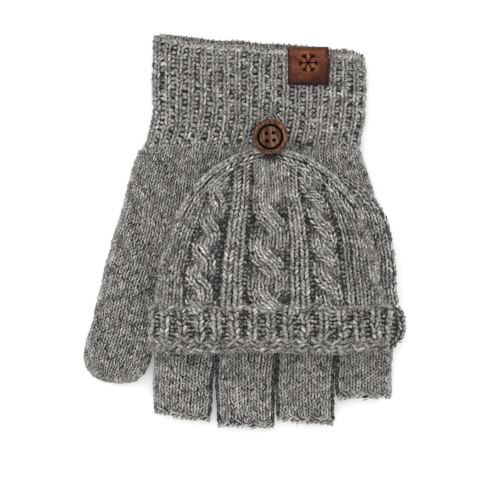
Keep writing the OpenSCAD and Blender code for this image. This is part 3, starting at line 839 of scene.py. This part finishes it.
wavy.append(cells(p, t, n, 2.9, 2.2, 3.0, lean=math.pi / 2, lift=0.1))
wavy = together(*wavy)
finishPiece(layStitches("brimChain", singleLeg, wavy, heatherThick, shade=-0.03), body="cap")
finishPiece(fuzz("brimFuzz", together(ribCells, wavy), 5000, 2.8, heatherThick), body="cap")
print("brim done")

# cap back layer and its band
backSet = {"wale": 3.3, "row": 1.8, "half": 51.4, "foldY": -46.2, "bandWale": 3.7}
backLo, backHi = boxOf("cap_back")
bandLo, bandHi = boxOf("cap_back_band")
crownUp = 24 + (backHi[1] - 0.3 - 24) * np.sin(np.linspace(0.08, 1, 14) * np.pi / 2)
backYs = np.concatenate([np.linspace(backLo[1], 24, 26), crownUp])
upBack = (backYs - backSet["foldY"]) / (backHi[1] - backSet["foldY"])
lines = []
for y, q in zip(backYs, np.clip(upBack, 0, 0.998)):
    leftHalf = backSet["half"] * dome(q, 3)
    rightHalf = backSet["half"] * dome(q, 3 + 1.5 * np.clip((30 - y) / 15, 0, 1))
    lines.append(ringLine(y, 4 - 3 * q - leftHalf, 4 - 3 * q + rightHalf, backLo[2], backHi[2], 3))
backForm = makeForm(lines, True, n=256, inset=0.35)
cols = round(backForm["around"][0] / backSet["wale"] / 2) * 2
rows = round(backForm["length"] / backSet["row"])
c, uu, vv = gridCells(backForm, cols, rows, None, backSet["row"], 1.9, lift=-0.15)
each = np.interp(vv * backForm["length"], backForm["s"], backForm["around"]) / cols
every = np.where(each > 1.5, 1, np.where(each > 0.75, 2, 4))  # fewer stitches where the rows get short
c["wide"] = c["wide"] * every
c = keep(c, (np.arange(len(uu)) % cols) % every == 0)
finishPiece(layStitches("capBackKnit", thickV, c, heatherThick), body="cap")
finishPiece(fuzz("backFuzz", c, 1600, 2.2, heatherThick), body="cap")
backCore = sheetOn("capBackCore", backForm, -0.15, -0.45, shadeBacking)
finishPiece(backCore, ["cap_back"], body="cap")
bandYs = np.linspace(bandLo[1] + 0.2, bandHi[1], 16)
fromMid = np.abs(bandYs - bandYs.mean()) / (bandYs[-1] - bandYs.mean() + 0.3)
roundEnd = 6.5 * (1 - np.sqrt(np.maximum(0, 1 - fromMid ** 2.6)))
bandForm = makeForm([ringLine(y, bandLo[0], bandHi[0] - q, bandLo[2] + 0.3, bandHi[2] - 0.2, 2.6)
                     for y, q in zip(bandYs, roundEnd)], True, n=256, inset=0.3)
cols = round(bandForm["around"].mean() / backSet["bandWale"] / 2) * 2
rows = round(bandForm["length"] / backSet["row"])
c, uu, vv = gridCells(bandForm, cols, rows, None, backSet["row"], 1.0)
knit = (np.arange(len(uu)) % cols) % 2 == 0
knits = keep(c, knit)
knits["at"], knits["tall"] = knits["at"] + knits["up"] * 0.3, knits["tall"] * 2.2
purls = keep(c, ~knit)
purls["tall"] = purls["tall"] * 1.5
finishPiece(layStitches("bandRibs", knitV, knits, heatherThick), body="cap")
finishPiece(layStitches("bandPurls", purlBar, purls, heatherThick), body="cap")
bandCore = sheetOn("bandCore", bandForm, -0.1, -0.4, shadeBacking)
finishPiece(bandCore, ["cap_back_band"], body="cap")
print("cap back done")

# chain round the cap, seam and button loop
t = unit(np.gradient(outline, axis=0))
rim = outline + 1.5 * np.stack([-t[:, 1], t[:, 0]], 1)
rim = rim[rim[:, 1] > brimHi[1] + 0.2]
dist = lengthAlong(rim)
at = np.linspace(0, dist[-1], 140)
line = np.stack([np.interp(at, dist, rim[:, 0]), np.interp(at, dist, rim[:, 1]),
                 np.full(140, (chainLo[2] + chainHi[2]) / 2)], 1)
plied("capChain", line, 1.35, 2.3, 6, 0.45, heatherThick, "cap_chain", "cap", shade=-0.07)
seamLo, seamHi = boxOf("cap_seam")
mid = (seamLo + seamHi) / 2
line = np.stack([np.linspace(seamLo[0], seamHi[0], 90), np.full(90, mid[1]), np.full(90, mid[2])], 1)
plied("capSeam", line, 1.0, 1.8, 5, 0.95, heatherWool, "cap_seam", "mitten")
loopLo, loopHi = boxOf("button_loop")
r = (loopHi[2] - loopLo[2]) / 2
half = (loopHi[0] - loopLo[0]) / 2 - r
turnY = loopHi[1] - r - half
arc = np.linspace(0, np.pi, 24)
mx, mz = (loopLo[0] + loopHi[0]) / 2, (loopLo[2] + loopHi[2]) / 2
sideY = np.linspace(loopLo[1], turnY, 12)[:-1]
line = np.concatenate([np.stack([np.full(11, mx + half), sideY, np.full(11, mz)], 1),
                       np.stack([mx + half * np.cos(arc), turnY + half * np.sin(arc), np.full(24, mz)], 1),
                       np.stack([np.full(11, mx - half), sideY[::-1], np.full(11, mz)], 1)])
plied("buttonLoop", line, r, 1.7, 4, 0.95, heatherThick, "button_loop", "cap")
print("chain, seam and loop done")

# cuff edge, cast-on loops with a pale inner side
lipYs = np.array([0.0, 0.8, 1.6, 2.1])
edgeOut = np.array([0.2, 0.2, -0.3, -1.1])
_, lipLeft, lipRight = cuffSet["at"][-1]
lines = [ringLine(cuffSet["lipY"] + y, lipLeft - o, lipRight + o, -0.1 - min(o, 0), cuffTop + o, 2.8,
                  cuffSet["slope"], cuffSet["step"], 1) for y, o in zip(lipYs, edgeOut)]
edgeForm = makeForm(lines, True, inset=0.8)
a, _, _ = gridCells(edgeForm, cuffSet["columns"], 1, None, 2.3, 2.2, v0=0.1, v1=0.7, lean=0.9)
b, _, _ = gridCells(edgeForm, cuffSet["columns"], 1, None, 2.3, 2.0, v0=0.6, v1=1.1, lean=-0.9, shift=0.5)
lining = []
liningLoops = 96
for k in range(3):  # pale inner side of the lip
    u = (np.arange(liningLoops) + 0.5 * (k % 2)) / liningLoops
    p, t, n, _ = onForm(edgeForm, u, np.full(liningLoops, 0.05 + 0.42 * k))
    lining.append(cells(p - n * 2.0, t, -n, 1.9, 1.8, 2.2, lean=0.9 * (-1) ** k, jitter=0.08))
edge = together(a, b, *lining, rimCells(edgeForm, 110, 0.9, 1.7, 2.6, 2.0),
                rimCells(edgeForm, 100, 1.9, 1.8, 2.6, 2.2, -0.5))
finishPiece(layStitches("cuffEdgeKnit", singleLeg, edge, heatherWool), body="mitten")
finishPiece(fuzz("cuffEdgeFuzz", edge, 900, 2.4), body="mitten")
print("cuff edge done")


def dressNode(node, material):  # a hard piece that keeps its CAD shape
    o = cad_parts[node]
    o.data.materials.clear()
    o.data.materials.append(material)
    clearSelection()
    o.select_set(True)
    bpy.context.view_layer.objects.active = o
    bpy.ops.object.shade_smooth_by_angle(angle=0.6)
    return o


# button, thread and label
def across(tree, at, centre, x, y):  # distance from a centre, mm, x and y switch the axes on
    move = addNode(tree, "ShaderNodeVectorMath", {0: at}, {1: [c * mm for c in centre]}, operation="SUBTRACT")
    scale = addNode(tree, "ShaderNodeVectorMath", {0: move.outputs[0]}, {1: (1000 * x, 1000 * y, 0)},
                    operation="MULTIPLY")
    return addNode(tree, "ShaderNodeVectorMath", {0: scale.outputs[0]}, operation="LENGTH").outputs["Value"]


# turned hardwood, stained and waxed: streaks along the grain, a groove inside a low-gloss rim, with painted
# shade in the groove, in a band on the rim and at its outer edge
buttonSet = {"rough": 0.36, "grainTurn": 0.5, "grainStretch": 0.16, "grainScale": 1500.0,
             "wood": [(0.3, "#2b160d"), (0.5, "#5c3b2b"), (0.7, "#a87d66")],
             "turned": [(0.0, "#f4f4f4"), (0.55, "#ececec"), (0.61, "#060606"), (0.71, "#060606"),
                        (0.77, "#ffffff"), (0.86, "#d0d0d0"), (0.93, "#ffffff"), (1.0, "#2a2a2a")]}


def stainedWood(lo, hi):
    mat, tree, shader = newMaterial("stainedWood", buttonSet["rough"])
    at = addNode(tree, "ShaderNodeTexCoord").outputs["Object"]
    grainAt = addNode(tree, "ShaderNodeMapping", {"Vector": at}, Rotation=(0, 0, buttonSet["grainTurn"]),
                      Scale=(1, buttonSet["grainStretch"], 1))
    streak = addNode(tree, "ShaderNodeTexNoise", {"Vector": grainAt.outputs[0]}, Scale=buttonSet["grainScale"],
                     Detail=4.0, Roughness=0.6)
    wood = ramp(tree, streak.outputs["Fac"], buttonSet["wood"])
    outward = across(tree, at, (lo + hi) / 2, 1, 1)
    reach = addNode(tree, "ShaderNodeMath", {0: outward}, {1: (hi[0] - lo[0]) / 2}, operation="DIVIDE")
    # painted shade: near-black groove, a darker band on the rim and a dark outer edge
    turned = ramp(tree, reach.outputs[0], buttonSet["turned"])
    woodWithPaintedShade = addNode(tree, "ShaderNodeMixRGB", {"Color1": wood, "Color2": turned}, blend_type="MULTIPLY",
                    Fac=1.0)
    tree.links.new(woodWithPaintedShade.outputs["Color"], shader.inputs["Base Color"])
    shader.inputs["Specular IOR Level"].default_value = 0.05
    return mat


# waxed sewing thread and burnt lines: one dark even colour each, hardly any gloss; the button thread is
# near-black as painted shade in the holes it fills


def plainDark(name, rough, colour, gloss=0.5):
    mat, tree, shader = newMaterial(name, rough)
    shader.inputs["Base Color"].default_value = toLinear(colour)
    shader.inputs["Specular IOR Level"].default_value = gloss
    return mat


# tanned leather, dyed by hand and burnt at its cut edges: cloudy colour, fine pores, darker towards the bottom,
# satin
labelSet = {"rough": 0.5, "cloudScale": 170.0, "poreScale": 1400.0,
            "hide": [(0.34, "#43200f"), (0.5, "#7a472e"), (0.66, "#b2744f")],
            "burnt": [(0.0, "#ffffff"), (0.7, "#e8dcd6"), (0.88, "#a58a80"), (1.0, "#3c2a24")],
            "darkerDown": [(0.0, "#ffffff"), (0.45, "#fbf6f4"), (0.75, "#c9b6b0"), (1.0, "#9c8078")],
            "strokes": ((2.2, 4.4, 0), (2.7, 1.7, 0.75), (2.7, 1.7, -0.75)), "stroke": 0.62, "deep": 0.12}


def tannedLeather(lo, hi):
    mat, tree, shader = newMaterial("tannedLeather", labelSet["rough"])
    at = addNode(tree, "ShaderNodeTexCoord").outputs["Object"]
    centre, half = (lo + hi) / 2, (hi - lo) / 2
    cloud = addNode(tree, "ShaderNodeTexNoise", {"Vector": at}, Scale=labelSet["cloudScale"], Detail=8.0,
                    Roughness=0.78)
    hide = ramp(tree, cloud.outputs["Fac"], labelSet["hide"])
    aside = across(tree, at, centre, 1, 0)
    along = across(tree, at, centre, 0, 1)
    below = across(tree, at, hi, 0, 1)
    sideways = addNode(tree, "ShaderNodeMath", {0: aside}, {1: half[0]}, operation="DIVIDE").outputs[0]
    upward = addNode(tree, "ShaderNodeMath", {0: along}, {1: half[1]}, operation="DIVIDE").outputs[0]
    edgeward = addNode(tree, "ShaderNodeMath", {0: sideways, 1: upward}, operation="MAXIMUM")
    burnt = ramp(tree, edgeward.outputs[0], labelSet["burnt"])
    down = addNode(tree, "ShaderNodeMath", {0: below}, {1: 2 * half[1]}, operation="DIVIDE")
    # darker towards the bottom
    darkerDown = ramp(tree, down.outputs[0], labelSet["darkerDown"])
    burntAndDarkerDown = addNode(tree, "ShaderNodeMixRGB", {"Color1": burnt, "Color2": darkerDown}, blend_type="MULTIPLY", Fac=1.0)
    tan = addNode(tree, "ShaderNodeMixRGB", {"Color1": hide, "Color2": burntAndDarkerDown.outputs["Color"]},
                  blend_type="MULTIPLY", Fac=1.0)
    tree.links.new(tan.outputs["Color"], shader.inputs["Base Color"])
    shader.inputs["Specular IOR Level"].default_value = 0.12
    pores = addNode(tree, "ShaderNodeTexVoronoi", {"Vector": at}, Scale=labelSet["poreScale"])
    bump = addNode(tree, "ShaderNodeBump", {"Height": pores.outputs["Distance"]}, Strength=0.35,
                   Distance=0.0002)
    tree.links.new(bump.outputs["Normal"], shader.inputs["Normal"])
    return mat


dressNode("button", stainedWood(*boxOf("button")))
# painted shade: the button thread is near-black and glossless so the holes read as shaded
dressNode("button_thread", plainDark("darkThread", 0.8, "#0a0504", 0.02))
dressNode("label_stitches", plainDark("waxedThread", 0.8, "#2c140c"))
lo, hi = boxOf("label_tab")
centre = (lo + hi) / 2
dressNode("label_tab", tannedLeather(lo, hi))
clearSelection()
marks = []
mx, my, mz = centre[0], centre[1] + 1.2, hi[2] + 0.02
for k in range(6):  # pressed snowflake in place of lettering
    a = k * math.pi / 3
    for r, size, turnBy in labelSet["strokes"]:  # distance out, length and turn of a stroke
        bpy.ops.mesh.primitive_cube_add(size=1)
        o = bpy.context.object
        o.scale = (size * mm, labelSet["stroke"] * mm, labelSet["deep"] * mm)
        o.rotation_euler = (0, 0, a + turnBy)
        side = 0.5 * size * (1 if turnBy else 0)
        x = r * math.cos(a) + side * math.cos(a + turnBy)
        y = r * math.sin(a) + side * math.sin(a + turnBy)
        o.location = ((mx + x) * mm, (my + y) * mm, mz * mm)
        marks.append(o)
clearSelection()
for o in marks:
    o.select_set(True)
bpy.context.view_layer.objects.active = marks[0]
bpy.ops.object.join()
motif = bpy.context.object
motif.name = motif.data.name = "labelMotif"
bpy.ops.object.transform_apply(location=True, rotation=True, scale=True)
motif.data.materials.append(plainDark("burntMark", 0.6, "#1c0b06", 0.02))
finishPiece(motif, body="mitten")
print("button and label done")

# stage, light, camera
studio = {"world": 0.86, "floorGlow": 0.22, "lens": 200, "wide": 0.215, "aim": (-0.00903, -0.0043, 0.013)}
low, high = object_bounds()
clearSelection()
bpy.ops.mesh.primitive_plane_add(size=4, location=(0, 0, low[2] - 0.0001))
floor = bpy.context.object
floor.name = "floor"
mat, tree, shader = newMaterial("paleFloor", 0.9)
shader.inputs["Base Color"].default_value = (0.93, 0.93, 0.93, 1)
shader.inputs["Emission Color"].default_value = (1, 1, 1, 1)
shader.inputs["Emission Strength"].default_value = studio["floorGlow"]
floor.data.materials.append(mat)
floor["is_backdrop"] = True

scene = bpy.context.scene
scene.view_settings.view_transform = "Standard"
scene.world = bpy.data.worlds.new("studio") if scene.world is None else scene.world
scene.world.use_nodes = True
scene.world.node_tree.nodes["Background"].inputs[0].default_value = (1, 1, 1, 1)
scene.world.node_tree.nodes["Background"].inputs[1].default_value = studio["world"]


def areaLight(name, at, size, power):
    light = bpy.data.lights.new(name, "AREA")
    light.size, light.energy = size, power
    o = bpy.data.objects.new(name, light)
    scene.collection.objects.link(o)
    o.location = at
    o.rotation_euler = (-Vector(at)).to_track_quat("-Z", "Y").to_euler()
    return o


areaLight("keyLight", (-0.3, 0.35, 1.1), 0.9, 5.5)
areaLight("fillLight", (0.5, -0.3, 1.2), 1.0, 2.5)

cam = bpy.data.cameras.new("cam")
cam.lens, cam.clip_start, cam.clip_end = studio["lens"], 0.05, 10
camera = bpy.data.objects.new("cam", cam)
scene.collection.objects.link(camera)
aimX, aimY, aimZ = studio["aim"]
camera.location = (aimX, aimY, aimZ + studio["wide"] * studio["lens"] / 36)  # sees this width on a 36 mm sensor
scene.camera = camera

total = sum(len(p.vertices) - 2 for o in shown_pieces() if o.type == "MESH" for p in o.data.polygons)
print("triangles", total)
